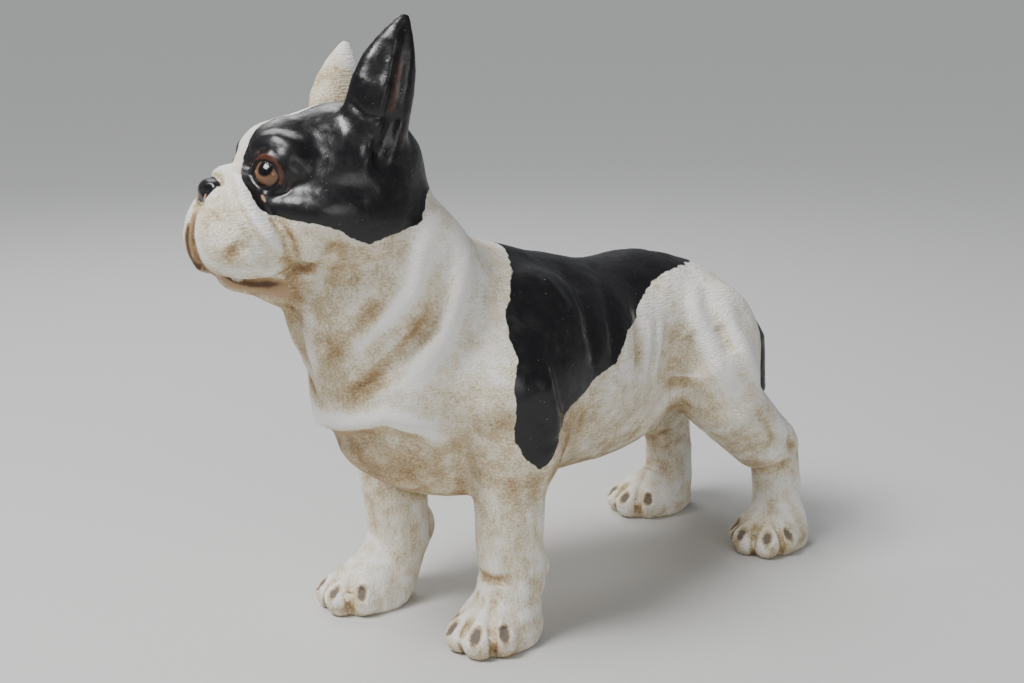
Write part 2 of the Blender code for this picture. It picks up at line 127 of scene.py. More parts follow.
def mirrored(lump):
    """The same lump on the other side of the plane X = 0."""
    flip = np.diag([-1.0, 1.0, 1.0])
    return Lump(lump.points @ flip, lump.radii, lump.blend, flip @ lump.turn @ flip)


def pair(lump):
    """A lump on both sides of the dog."""
    return [lump, mirrored(lump)]


print("a thumb-sized lump reaches", mass((0, 0, 0), (20, 20, 20)).reach, "millimetres with its blend")

# %% [markdown]
# ## The body
# The barrel of the chest is the widest mass, and it narrows to the loin. The neck is nearly as
# thick as the head, which is what makes the breed look strong.

# %% The body
def torso():
    return [
        mass((0, -58, 176), (80, 116, 80)),
        mass((-2, -166, 186), (66, 66, 62), 24),
        mass((0, -112, 130), (54, 78, 38), 14),
        mass((-6, -166, 140), (46, 42, 27), 14),
        mass((0, 0, 144), (58, 88, 50), 16),
        mass((0, 50, 192), (58, 82, 56), 20),
        mass((0, 102, 181), (56, 56, 49), 16),
        mass((0, -84, 222), (38, 52, 32), 24),
        mass((0, 138, 150), (33, 38, 38), 14),
        mass((0, -94, 238), (26, 32, 28), 18),
    ]


def neck():
    thick_sides = mass((26, -178, 258), (34, 42, 48), 18)
    return [
        limb([(0, -128, 202), (-3, -164, 242), (-6, -192, 288)], [68, 58, 48], 22),
        mass((-6, -216, 246), (42, 34, 50), 20),
    ] + pair(thick_sides)


def shoulders():
    blade = mass((54, -102, 196), (31, 46, 60), 20, turned(x=-22, y=-8))
    upper_arm = limb([(62, -130, 180), (68, -116, 146)], [33, 27], 18)
    return pair(blade) + pair(upper_arm)


def tail():
    return [limb([(0, 140, 198), (1, 168, 186), (4, 194, 156), (6, 200, 114)], [15, 14, 12, 9], 5)]


print("the body takes", len(torso() + neck() + shoulders() + tail()), "lumps")

# %% [markdown]
# ## Legs and paws
# The fore legs are straight posts set wide apart. The hind legs stretch back from the thigh to the
# hock and stand upright from there. Each paw has four toes, with the middle two ahead.

# %% Legs and paws
def foreleg(side, shaft_x, shaft_y, paw_x, paw_y):
    """A straight, heavy foreleg from the elbow down to the pastern above its paw."""
    return [
        limb(
            [
                (side * 64, shaft_y + 2, 140),
                (side * 61, shaft_y, 108),
                (shaft_x, shaft_y, 74),
                (shaft_x, shaft_y + 3, 46),
                ((shaft_x + paw_x) / 2, (shaft_y * 3 + paw_y) / 4, 26),
            ],
            [28, 24.5, 23.5, 23, 23],
            14,
        ),
        mass((shaft_x, shaft_y + 21, 50), (12, 12, 15), 6),
    ]


def hind_leg(side, paw_x, paw_y):
    """Thigh, shank stretched back to the hock, and an upright pastern."""
    return [
        mass((side * 42, 98, 167), (34, 48, 54), 14, turned(x=11)),
        limb([(side * 48, 94, 160), (side * 58, 102, 128), (side * 60, 141, 93)], [34, 28.5, 25.5], 12),
        limb([(side * 60, 159, 84), (side * 60, 165, 56), (paw_x, 163, 26)], [21, 19.5, 20.5], 8),
        mass((paw_x + side * 2, 167, 8), (21, 16, 15), 6),
    ]


TOES = ((-56, 20), (-19, 26), (19, 26), (56, 20))  # degrees to the side, and how far ahead its tip is


def toe_way(angle, swing):
    """Which way a toe points, level with the ground."""
    way = math.radians(angle + swing)
    return np.array([math.sin(way), -math.cos(way), 0])


def paw(x, y, swing):
    """The pad of a paw and its four toes, the middle two the longest."""
    lumps = [mass((x, y + 4, 10), (27, 33, 25), 8)]
    for angle, far in TOES:
        way = toe_way(angle, swing)
        root = np.array([x, y, 22]) + way * 6
        tip = np.array([x, y, 10.5]) + way * far
        lumps.append(limb([root, tip], [13, 11.8], 2.5))
    return lumps


FORE_LEGS = ((1, 60.0, -124.0, 60.0, -137.0, 7.0), (-1, -54.0, -137.0, -54.0, -165.0, -10.0))
HIND_LEGS = ((1, 66.0, 150.0, 20.0), (-1, -57.0, 140.0, -16.0))
PAWS = [leg[-3:] for leg in FORE_LEGS + HIND_LEGS]  # x, y and the turn of each in degrees


print("a paw takes", len(paw(0, 0, 0)), "lumps")

# %% [markdown]
# ## The head
# The head is built straight and then turned and tilted on the neck as one. The muzzle is short,
# with two heavy hanging lips in front and the chin below them.

# %% The head
def head():
    """The head in its own frame, before it is turned and tilted on the neck."""
    lumps = [
        mass((0, 14, 6), (54, 54, 45)),
        mass((0, -26, 16), (36, 26, 26), 10),
        *pair(mass((34, 2, -20), (27, 44, 34), 12)),
        *pair(mass((28, -30, 12), (18, 17, 16), 8)),
        mass((0, -50, -16), (37, 28, 30), 12),
        *pair(mass((17, -66.5, -31), (22, 21, 26), 14, turned(z=10))),
        *pair(mass((27, -50, -37), (15, 26, 20), 8, turned(z=18))),
        mass((0, -42, -57), (25, 30, 12), 5),
        mass((0, -22, -64), (20, 24, 16), 12),
        mass((0, -62, 5), (17, 9, 9), 5),
    ]
    return lumps + nose_pad()


def nose_pad():
    """The broad nose and its two wings."""
    return [mass((0, -73, -2), (13, 7, 8), 2)] + pair(mass((8.5, -73, -3), (6, 7, 6.5), 2))


EYE = (29.5, -41.0, 5.8)
EYE_RADIUS = 10.5
GAZE = 38.0  # degrees outward from straight ahead


def eyes():
    """The eyeballs, which are laid in after the sockets are pressed."""
    return pair(mass(EYE, (EYE_RADIUS, EYE_RADIUS, EYE_RADIUS), 0.8))


def lid(angles, ring, ahead=4.2):
    """Points of an eyelid, which runs round the eyeball in a plane square to the gaze."""
    out = math.radians(GAZE)
    gaze = np.array([math.sin(out), -math.cos(out), 0])
    side = np.array([math.cos(out), math.sin(out), 0])
    points = []
    for angle in angles:
        turn = math.radians(angle)
        rise = np.array([0, 0, math.sin(turn) * ring])
        points.append(np.array(EYE) + gaze * ahead + side * math.cos(turn) * ring + rise)
    return points


def eyelids():
    """A thin roll of clay over each eye and a fuller one under it."""
    upper = limb(lid((178, 145, 110, 75, 40, 8), ring=11), [2.2, 2.5, 2.8, 2.8, 2.5, 2.2], 2.5)
    lower = limb(lid((186, 222, 270, 318, 354), ring=12, ahead=3.2), [2.2, 3.4, 4.6, 3.8, 2.2], 2.5)
    return pair(upper) + pair(lower)


def on_head(points):
    """Design points of the head's own frame, placed on the neck."""
    return np.asarray(points, float) @ HEAD_AXES.T + np.array(HEAD_CENTRE)


HEAD_AXES = np.array(Matrix.Rotation(HEAD_TURN, 3, "Z") @ Matrix.Rotation(HEAD_TILT, 3, "Y"))


def placed(lumps):
    """Lumps of the head's own frame, set on the neck."""
    return [Lump(on_head(one.points), one.radii, one.blend, HEAD_AXES @ one.turn) for one in lumps]


print("the eyes are", round(2 * EYE[0]), "millimetres apart")

# %% [markdown]
# ## The ears
# The ears stand up like a bat's. Each is a leaf with its own outline up its length, and a long slit
# runs down its outer side, where the real ear is folded.

# %% The ears
EAR_BASE = (38.0, 25.0, 34.0)
EAR_TIPS = {1: (50.0, 46.0, 100.0), -1: (-46.0, 40.0, 93.0)}
EAR_HALF_WIDTH = 21.5
EAR_HALF_DEPTH = 16.0
EAR_BOW = 1.5  # how far the leaf bows forward half-way up
EAR_TWIST = 20.0  # degrees that the back of the leaf swings outward
EAR_PROFILE = ((0.0, 0.35, 0.55, 0.72, 0.86, 0.95, 1.0), (1.0, 0.94, 0.8, 0.6, 0.38, 0.22, 0.1))


class Ear:
    """An upright bat ear: a full leaf with a long slit down its outer side."""

    blend = 6.0

    def __init__(self, side):
        base = on_head([(side * EAR_BASE[0], EAR_BASE[1], EAR_BASE[2])])[0]
        tip = on_head([EAR_TIPS[side]])[0]
        self.base = base
        self.length = np.linalg.norm(tip - base)
        up = (tip - base) / self.length
        twist = math.radians(EAR_TWIST)
        broad = HEAD_AXES @ np.array([side * math.sin(twist), math.cos(twist), 0])
        broad -= up * (broad @ up)
        broad /= np.linalg.norm(broad)
        outer = np.cross(broad, up) * side
        self.axes = np.column_stack([broad, outer, up])
        self.middle = (base + tip) / 2
        self.reach = self.length

    def gap(self, p):
        along, out, up = ((p - self.base) @ self.axes).T
        along = along + self.bow(up / self.length)
        leaf = np.interp(up / self.length, *EAR_PROFILE)
        width = EAR_HALF_WIDTH * leaf
        depth = EAR_HALF_DEPTH * leaf
        shell = (np.hypot(along / width, out / depth) - 1) * depth
        return np.maximum(shell, np.maximum(up - self.length, -up - 16))

    def bow(self, height):
        height = np.clip(height, 0, 1)
        return EAR_BOW * 4 * height * (1 - height)

    def slit(self, back, out_share, heights):
        """A path up the ear, a share of the leaf's half width back of its middle line."""
        path = []
        for height in heights:
            leaf = np.interp(height, *EAR_PROFILE)
            out = EAR_HALF_DEPTH * leaf * math.sqrt(1 - back**2) * out_share
            along = EAR_HALF_WIDTH * leaf * back - self.bow(height)
            path.append(self.base + self.axes @ np.array([along, out, height * self.length]))
        return path


print("the left ear is", round(Ear(1).length), "millimetres long")

# %% [markdown]
# ## Carving
# With the masses in place, the modeller draws folds with a loop tool. A stroke presses a groove
# along a path, or raises a ridge where its depth is negative.

# %% Carving
class Stroke:
    """A groove pressed along a path, or a ridge raised along it where the depth is negative."""

    def __init__(self, path, width, depth):
        self.path = np.array(path, float)
        self.width = width
        self.depth = depth
        self.middle = self.path.mean(axis=0)
        self.reach = np.linalg.norm(self.path - self.middle, axis=1).max() + 3 * width

    def press(self, p):
        """How far the surface sinks at each point."""
        best = np.full(len(p), np.inf)
        lengths = np.linalg.norm(np.diff(self.path, axis=0), axis=1)
        run = lengths.sum()
        start = 0.0
        place = np.zeros(len(p))
        for a, b, length in zip(self.path, self.path[1:], lengths):
            t = np.clip((p - a) @ (b - a) / length**2, 0, 1)
            far = np.linalg.norm(p - a - t[:, None] * (b - a), axis=1)
            nearer = far < best
            best = np.where(nearer, far, best)
            place = np.where(nearer, (start + t * length) / run, place)
            start += length
        fade = 1 - np.abs(2 * place - 1) ** 4 * 0.85
        return self.depth * fade * np.exp(-((best / self.width) ** 2))


def both(path, width, depth):
    """The same stroke on the left side and on the right."""
    return [(path, width, depth), ([(-x, y, z) for x, y, z in path], width, depth)]


ONCE = True  # ends the row of a stroke that isn't mirrored


def drawn(rows):
    """Strokes from rows of path, width and depth, each on both sides unless its row ends in ONCE."""
    strokes = []
    for path, width, depth, *once in rows:
        strokes += [(path, width, depth)] if once else both(path, width, depth)
    return strokes


def drawn_on_head(rows):
    return [(on_head(path), width, depth) for path, width, depth in drawn(rows)]


print("one row makes", len(drawn([([(1, 0, 0), (1, 1, 0)], 3, 1)])), "strokes")

# %% [markdown]
# ## Folds of the face
# The face is drawn on the straight head, as rows of path, width and depth.

# %% Folds of the face
NOSE_FOLD = [(13, -68, 10), (24, -67, 1), (35, -68, -9), (41, -65, -20), (44, -57, -36), (40, -48, -48)]
FOLD_BEHIND = [(18, -60, 11), (30, -61, 1), (37, -58, -14), (44, -50, -32), (42, -41, -46)]
FOREHEAD = [(0, -58, 20), (0, -46, 38), (0, -22, 46), (0, 0, 52)]
HEAD_STROKES = (
    # The mouth and the gap between the hanging lips
    ([(0, -84, -42), (9, -82, -48), (18, -72, -55), (26, -52, -59), (27, -37, -62)], 3.0, 6),
    ([(24, -52, -62), (25, -36, -64)], 5, 4),
    ([(0, -79, -8), (0, -84, -20), (0, -84, -32)], 2.6, 4, ONCE),
    ([(0, -86, -30), (0, -84, -48)], 4.5, 4, ONCE),
    # The folds of the muzzle and the jowl
    (NOSE_FOLD, 3.8, 4.5),
    (FOLD_BEHIND, 5.5, -3.5),
    ([(14, -58, 14), (26, -55, 8), (38, -54, -4), (44, -48, -18)], 4, 3),
    ([(44, -62, -30), (44, -52, -40), (40, -43, -50)], 5, 2.5),
    ([(54, -8, -36), (46, -14, -50), (32, -20, -60), (20, -24, -72)], 5, 5),
    ([(50, -22, -34), (42, -27, -46), (30, -30, -56)], 7, -2.5),
    ([(-20, -60, 18), (0, -64, 19), (20, -60, 18)], 3.5, 2.5, ONCE),
    # Eye sockets, brows and the forehead's furrow
    (lid((180, 0), ring=2, ahead=5), 8, 3),
    ([(14, -50, 22), (24, -45, 27), (34, -37, 29), (46, -27, 24)], 7, -2.5),
    (FOREHEAD, 7, 3, ONCE),
    # The nose's edge and nostrils
    ([(5.5, -81, -4), (10, -79, -1), (13, -75, 0)], 2.4, 4),
    ([(0, -72, 8), (11, -70, 6), (17, -68, -3), (13, -75, -11), (0, -81, -13)], 2.2, 2.2),
    ([(-13, -77, -11), (0, -83, -12), (13, -77, -11)], 2.6, 4.5, ONCE),
    # Where the ear's slit runs out on the cheek
    ([(50, 34, 40), (51, 28, 28), (53, 22, 15), (54, 18, 4)], 4.5, 5),
    ([(47, 22, 34), (51, 16, 20), (53, 12, 8)], 4, -2),
)
print("the head has", len(HEAD_STROKES), "rows of strokes")

# %% [markdown]
# ## Folds of the body
# Heavy skin hangs in rolls on the neck, makes a ledge over the chest and gathers at the flank.

# %% Folds of the body
NECK_DIP = [(51, -200, 284), (52, -206, 268), (46, -214, 248), (30, -228, 222), (8, -237, 206)]
NECK_ROLL = [(47, -178, 299), (54, -193, 282), (55, -202, 257), (44, -216, 238), (26, -230, 216)]
COLLAR_DIP = [(59, -174, 273), (61, -181, 256), (55, -187, 234), (41, -209, 203), (14, -230, 178)]
COLLAR_ROLL = [(52, -156, 281), (62, -166, 254), (62, -178, 226), (52, -202, 198)]
LEDGE = [(-44, -206, 158), (-14, -229, 162), (26, -226, 168), (45, -215, 174), (58, -188, 163)]
BELOW_LEDGE = [(-36, -204, 142), (-14, -216, 147), (12, -217, 153), (37, -210, 158), (47, -188, 150)]
THIGH_CREST = [(44, 74, 226), (57, 64, 210), (64, 66, 190), (76, 72, 166), (80, 84, 146)]
HIND_CREST = [(60, 88, 212), (76, 90, 192), (84, 98, 170), (84, 116, 146)]
BODY_STROKES = (
    # Folds of the neck, from the jaw down to the chest
    (NECK_DIP, 7, 4.5),
    (NECK_ROLL, 7, -4.5),
    (COLLAR_DIP, 6.5, 6),
    (COLLAR_ROLL, 8, -4.5),
    ([(54, -136, 270), (66, -150, 246), (68, -160, 222)], 7, 3.5),
    # The dewlap's two ridges and the dip between them
    ([(9, -251, 256), (8, -248, 242), (4, -244, 220), (-5, -235, 196)], 4.5, -3, ONCE),
    ([(-18, -248, 250), (-17, -244, 235), (-17, -238, 216), (-14, -232, 196)], 4.5, -3, ONCE),
    ([(-5, -256, 254), (-5, -250, 236), (-8, -243, 212)], 4.5, 3.5, ONCE),
    # The ledge of the chest
    (LEDGE, 5.5, -5.5, ONCE),
    (BELOW_LEDGE, 7.5, 6, ONCE),
    # The shoulder, the elbow and the ribs
    ([(58, -91, 258), (68, -90, 248), (76, -84, 232)], 6, -2),
    ([(83, -106, 223), (89, -106, 197), (91, -102, 176), (88, -95, 160)], 6, 4),
    ([(94, -122, 196), (98, -116, 172), (98, -112, 152)], 7, -4),
    ([(96, -108, 158), (92, -100, 142), (84, -100, 132)], 5, 3),
    ([(24, -46, 253), (58, -56, 240), (76, -64, 215), (80, -66, 190)], 7, 3),
    ([(13, -5, 247), (50, -26, 234), (66, -34, 214), (77, -44, 190)], 6, 2.5),
    ([(30, 20, 246), (58, 6, 222), (68, -8, 196), (70, -20, 170)], 6, 3),
    # The flank's small folds, its hollow and the fold to the knee
    ([(57, 13, 206), (64, 5, 191), (69, -4, 173)], 3.6, -2.5),
    ([(57, 26, 206), (61, 20, 188), (64, 12, 165)], 3.6, -2.5),
    ([(56, 46, 188), (58, 52, 172), (57, 52, 158)], 15, 7.5),
    ([(48, 6, 118), (58, 22, 133), (60, 50, 140), (64, 70, 136)], 6, 5),
    # The thigh and the hock
    (THIGH_CREST, 7, -5),
    (HIND_CREST, 8, -3.5),
    ([(68, 80, 196), (78, 84, 174)], 7, 3),
    ([(76, 122, 112), (78, 150, 92), (76, 172, 74)], 6, 3),
    # The wrist's crease, the back and the tail
    ([(78, -136, 52), (62, -142, 49), (44, -138, 52)], 3.5, 2),
    ([(0, 60, 250), (0, 110, 236), (0, 150, 214)], 7, 2, ONCE),
    ([(15, 150, 205), (18, 166, 186), (18, 180, 160), (16, 180, 128)], 5, 4),
)
print("the body has", len(BODY_STROKES), "rows of strokes")

# %% [markdown]
# ## Toes and ears
# These strokes follow the paws and the ears wherever those are put.

# %% Toes and ears
GROOVE = ((10, 36), (21, 28), (29, 15), (30, 3))  # ahead of the paw's middle, and above the ground


def toe_strokes():
    """The grooves between the toes, which run up on to the back of the paw."""
    strokes = []
    for x, y, swing in PAWS:
        for angle in (-37.5, 0, 37.5):
            way = toe_way(angle, swing)
            middle = np.array([x, y, 0])
            groove = [middle + way * far + np.array([0, 0, z]) for far, z in GROOVE]
            strokes.append((groove, 2.8, 3.2))
    return strokes


SLIT_BACK = 0.42  # the slit's place, as a share of the leaf's half width


def ear_strokes(ear):
    heights = (0.0, 0.25, 0.5, 0.75, 0.94)
    return [
        (ear.slit(SLIT_BACK, 1.0, heights), 4.2, 5),
        (ear.slit(0.12, 1.0, heights), 3.4, -1.6),
        (ear.slit(-0.25, 1.0, (0.35, 0.55, 0.75)), 8, 2.5),
    ]


def carving():
    strokes = drawn_on_head(HEAD_STROKES) + drawn(BODY_STROKES) + toe_strokes()
    strokes += ear_strokes(Ear(1)) + ear_strokes(Ear(-1))
    return [Stroke(*stroke) for stroke in strokes]


def figure():
    lumps = torso() + neck() + shoulders()
    for side, shaft_x, shaft_y, x, y, swing in FORE_LEGS:
        lumps += foreleg(side, shaft_x, shaft_y, x, y) + paw(x, y, swing)
    for side, x, y, swing in HIND_LEGS:
        lumps += hind_leg(side, x, y) + paw(x, y, swing)
    return lumps + tail() + placed(head()) + [Ear(1), Ear(-1)]


print("the carving takes", len(carving()), "strokes")

# %% [markdown]
# ## Claws and creases
# The last carving is done with a fine point: the claws in their hollows, the eyelids' outer
# creases and the wrinkles of the muzzle.

# %% Claws and creases
def claw_places():
    """The middle of each claw's root line on the ground, and which way its toe points."""
    places = []
    for x, y, swing in PAWS:
        for angle, far in TOES:
            way = toe_way(angle, swing)
            places.append((np.array([x, y, 0]) + way * far, way))
    return places


CLAW_HEIGHT = 18.5  # of a claw's middle
CLAW_AHEAD = 8.8
CLAW_LINE = ((5.5, 23), (CLAW_AHEAD, CLAW_HEIGHT), (10.8, 13))  # ahead and up, from root to point
CLAW_RIM_HALF = (5.2, 7.4)


def claw_up(way):
    """The direction up a claw, which leans back from its toe's way."""
    return np.array([0, 0, 0.8]) - way * 0.6


def claw_strokes():
    """A claw lies in an oval hollow with a raised rim, and stands up a little in it."""
    strokes = []
    for toe, way in claw_places():
        up = claw_up(way)
        side = np.cross(way, [0, 0, 1])
        middle = toe + way * CLAW_AHEAD + np.array([0, 0, CLAW_HEIGHT])
        wide, tall = CLAW_RIM_HALF
        turns = np.radians(np.arange(0, 361, 40))
        rim = [middle + side * wide * math.cos(turn) + up * tall * math.sin(turn) for turn in turns]
        line = [toe + way * ahead + np.array([0, 0, z]) for ahead, z in CLAW_LINE]
        strokes += [(line, 3.6, 3.4), (rim, 1.7, -1.3), (line[1:], 1.9, -1.8)]
    return strokes


FACE_CREASES = (  # too fine for the clay tools used so far
    # Above and below the eyelids
    (lid((168, 130, 90, 50, 15), ring=15.5, ahead=2.5), 1.6, 1.6),
    (lid((205, 240, 270, 300, 335), ring=17.5, ahead=1), 1.8, 1.6),
    ([(42, -34, 12), (47, -29, 8), (50, -24, 2)], 1.8, 1.4),
    # Wrinkles and pits of the muzzle
    ([(10, -69, 13), (20, -66, 7), (29, -64, -3)], 1.8, 1.3),
    ([(22, -83, -13), (30, -80, -18), (36, -76, -23)], 2.4, 2.0),
    ([(25, -86, -20), (28, -84, -26)], 2.8, 2.0),
    ([(39, -74, -42), (42, -68, -36), (43, -63, -39)], 3.2, 2.6),
    ([(33, -66, -11), (39, -63, -20), (42, -58, -28), (43, -53, -37), (41, -42, -43)], 3.2, 1.4),
    ([(37, -64, -8), (42, -60, -18), (46, -55, -28), (46, -47, -36), (41, -41, -43)], 3.2, -0.9),
    ([(40, -48, -19), (43, -41, -27), (43, -35, -35)], 1.4, 1.4),
    ([(-14, -66, 13), (0, -69, 14), (14, -66, 13)], 1.8, 1.2, ONCE),
    # The rim of the hanging lip
    ([(7, -87, -42), (17, -79, -50), (27, -62, -55), (31, -46, -56)], 2.2, -1.6),
    # Planes of the brow, temple and cheek
    ([(28, -32, 41), (39, -14, 36), (49, 2, 27), (54, 16, 14)], 10, 2),
    ([(36, -52, -8), (48, -34, -16), (57, -16, -20), (60, 6, -22)], 7, -2),
    ([(45, -38, -1), (54, -18, -4), (59, 2, -4), (59, 18, -2)], 6, 1.6),
    # Round the foot of the ear
    ([(38, 6, 50), (46, 9, 46), (51, 14, 39), (54, 21, 37), (53, 29, 38)], 2.4, 2.2),
    ([(54, 36, 40), (53, 32, 28), (53, 29, 16)], 2.4, 2.4),
    ([(53, 14, 32), (53, 20, 22), (54, 19, 8)], 2.4, 2.0),
)
BODY_CREASES = (  # thin folds of skin
    ([(40, -226, 262), (34, -236, 240)], 3.0, 1.5),
    ([(56, -196, 240), (50, -208, 224), (38, -220, 208)], 3.0, 1.6),
    ([(66, -158, 262), (70, -168, 238), (66, -180, 214)], 4.0, 2.0),
    ([(50, -212, 188), (34, -224, 180), (16, -230, 176)], 3.0, 1.6),
    ([(60, 22, 206), (65, 14, 190), (68, 4, 170)], 2.0, 1.6),
    ([(58, 34, 206), (61, 28, 188), (64, 20, 166)], 2.0, 1.6),
    ([(72, 60, 204), (78, 66, 184), (82, 78, 160)], 4.0, 1.8),
    ([(66, 108, 214), (80, 116, 190), (84, 130, 160)], 4.5, 1.8),
    ([(84, 104, 128), (82, 126, 104), (80, 148, 90)], 4.0, 1.6),
    ([(80, -20, 220), (84, -30, 190), (80, -38, 164)], 4.0, 1.6),
)


def fine_carving():
    strokes = claw_strokes() + drawn_on_head(FACE_CREASES) + drawn(BODY_CREASES)
    return [Stroke(*stroke) for stroke in strokes]


print("the fine carving takes", len(fine_carving()), "strokes")

# %% [markdown]
# ## The skin
# The lumps are run together like wet clay: where two masses are about as near, the surface between
# them is rounded. A plain blockout is remeshed to one skin, and every point of it then settles on
# that surface.

# %% The surface
def run_together(a, b, blend):
    """The smaller of two distances, rounded where the two are alike."""
    h = np.clip(0.5 + 0.5 * (b - a) / blend, 0, 1)
    return b * (1 - h) + a * h - blend * h * (1 - h)


def near(p, thing):
    return np.linalg.norm(p - thing.middle, axis=1) < thing.reach


def clay(p, lumps, strokes=(), last=()):
    """The distance from each point to the surface of the lumps run together, with the carving in it."""
    total = np.full(len(p), 60.0)
    for lump in lumps:
        touched = near(p, lump)
        if touched.any():
            total[touched] = run_together(total[touched], lump.gap(p[touched]), lump.blend)
    for stroke in strokes:
        touched = near(p, stroke)
        if touched.any():
            total[touched] += stroke.press(p[touched])
    for lump in last:
        touched = near(p, lump)
        if touched.any():
            total[touched] = run_together(total[touched], lump.gap(p[touched]), lump.blend)
    return np.maximum(total, -p[:, 2])


body_lumps = figure()
strokes = carving()
fine_strokes = fine_carving()
eyeballs = placed(eyes())
lids = placed(eyelids())


def surface(p):
    return clay(p, body_lumps, strokes + fine_strokes, eyeballs + lids)


crown_gap = surface(on_head([(0, 0, 90)]))[0]
print("the crown of the head lies", round(float(crown_gap)), "millimetres below a point over it")

# %% Remeshing and settling
def ball(mesh, middle, turn, radii):
    """Adds a ball stretched to three radii."""
    shape = Matrix.Translation(Vector(middle)) @ Matrix(turn.tolist()).to_4x4() @ Matrix.Diagonal((*radii, 1))
    bmesh.ops.create_icosphere(mesh, subdivisions=4, radius=1, matrix=shape)


def blockout(lumps):
    """Plain balls and cones at the lumps' places, as one loose mesh in design millimetres."""
    mesh = bmesh.new()
    for lump in lumps:
        if isinstance(lump, Ear):
            middle = lump.base + lump.axes[:, 2] * lump.length * 0.45
            ball(mesh, middle, lump.axes, (EAR_HALF_WIDTH, EAR_HALF_DEPTH, lump.length * 0.6))
            continue
        if not lump.is_limb:
            ball(mesh, lump.points[0], lump.turn, lump.radii)
            continue
        for point, radius in zip(lump.points, lump.radii):
            place = Matrix.Translation(Vector(point))
            bmesh.ops.create_icosphere(mesh, subdivisions=3, radius=radius, matrix=place)
        for a, b, ra, rb in zip(lump.points, lump.points[1:], lump.radii, lump.radii[1:]):
            a, b = Vector(a), Vector(b)
            shape = Matrix.Translation((a + b) / 2) @ (b - a).to_track_quat("Z", "Y").to_matrix().to_4x4()
            bmesh.ops.create_cone(
                mesh, cap_ends=True, segments=24, radius1=ra, radius2=rb, depth=(b - a).length, matrix=shape
            )
    return mesh


def remeshed(obj, voxel):
    """Applies a voxel remesh to the object."""
    modifier = obj.modifiers.new("skin", "REMESH")
    modifier.mode = "VOXEL"
    modifier.voxel_size = voxel
    apply_modifiers(obj)


def apply_modifiers(obj):
    graph = bpy.context.evaluated_depsgraph_get()
    mesh = bpy.data.meshes.new_from_object(obj.evaluated_get(graph))
    old = obj.data
    obj.modifiers.clear()
    obj.data = mesh
    bpy.data.meshes.remove(old)


def points_of(obj, what="co"):
    """Each vertex's place, or its normal where that is asked for."""
    out = np.empty(len(obj.data.vertices) * 3, np.float32)
    obj.data.vertices.foreach_get(what, out)
    return out.reshape(-1, 3).astype(float)


def set_points(obj, points):
    obj.data.vertices.foreach_set("co", points.astype(np.float32).ravel())
    obj.data.update()


def settle(obj, surface, steps):
    """Moves every vertex down the surface's slope until it lies on the surface."""
    p = points_of(obj)
    step = 0.5
    corners = np.array([(1, 1, 1), (1, -1, -1), (-1, 1, -1), (-1, -1, 1)], float)
    for _ in range(steps):
        gap = surface(p)
        slope = sum(corner * surface(p + corner * step)[:, None] for corner in corners)
        slope /= np.maximum(np.linalg.norm(slope, axis=1), 1e-9)[:, None]
        p -= slope * np.clip(gap, -8, 8)[:, None] * 0.8
    set_points(obj, p)


def thinned(obj, triangles):
    """Thins the mesh to a number of triangles, most of them kept where the surface bends most."""
    obj.data.calc_loop_triangles()
    modifier = obj.modifiers.new("thin", "DECIMATE")
    modifier.ratio = triangles / len(obj.data.loop_triangles)
    modifier.use_collapse_triangulate = True
    head = obj.vertex_groups.new(name="face kept finer")
    p = points_of(obj)
    far = np.linalg.norm(p - on_head([(0, -50, -10)])[0], axis=1)
    weight = np.clip(far / 90, FACE_SHARE, 1.0)
    for share in np.unique(weight.round(1)):
        head.add(np.flatnonzero(weight.round(1) == share).tolist(), float(share), "REPLACE")
    modifier.vertex_group = head.name
    modifier.vertex_group_factor = 1.0
    apply_modifiers(obj)
    obj.vertex_groups.clear()


def flat_soles(obj):
    """Lays the undersides of the paws flat on the ground."""
    p = points_of(obj)
    p[p[:, 2] < SOLE_REACH, 2] = 0.0
    set_points(obj, p)


mesh = bpy.data.meshes.new("painted_statue")
loose = blockout(body_lumps + eyeballs + lids)
loose.to_mesh(mesh)
loose.free()
statue = bpy.data.objects.new("painted_statue", mesh)
bpy.context.scene.collection.objects.link(statue)
remeshed(statue, BLOCKOUT_VOXEL)
settle(statue, surface, 4)
remeshed(statue, SKIN_VOXEL)
settle(statue, surface, 5)
flat_soles(statue)
thinned(statue, SKIN_TRIANGLES)
flat_soles(statue)
print("the skin has", len(statue.data.polygons), "triangles")

# %% [markdown]
# ## Where the hand shows
# The old clay surface isn't machine smooth. A slow ripple, well under a millimetre high, is left in
# it as the marks of thumbs and tools.

# %% The hand's ripple
def ripple(p, size, height):
    """A slow bumpiness with waves of about one size."""
    return np.array([noise.noise(Vector(q) / size) for q in p]) * height


p = points_of(statue)
off_ground = np.clip(p[:, 2] / 6, 0, 1)
on_legs = np.clip((150 - p[:, 2]) / 60, 0, 1)
bumps = ripple(p, 16.0, 0.5) + ripple(p, 6.0, 0.2) + on_legs * (ripple(p, 11.0, 0.9) + ripple(p, 5.0, 0.3))
set_points(statue, p + points_of(statue, "normal") * (bumps * off_ground)[:, None])
print("the ripple is", round(float(bumps.std()), 2), "millimetres high on average")

# %% [markdown]
# ## What the painter sees
# A wash settles in hollows and a dry brush catches the high places, and on top of these the hollows and the
# undersides are darkened with painted shade and the ridges are lightened with a painted highlight. Each point
# of the skin gets a number for how deep it lies, measured by looking from the point outward through the clay.

# %% Hollows and high places
def sheltered(p, n, reach):
    """0 on open ground, towards 1 in a hollow: how much nearer the clay is than the reach."""
    return np.clip(1 - surface(p + n * reach) / reach, -0.2, 1)


def proud(p, n, reach):
    """0 on flat ground, towards 1 on a ridge: how soon the clay ends behind the point."""
    return np.clip(1 + surface(p - n * reach) / reach, 0, 1)


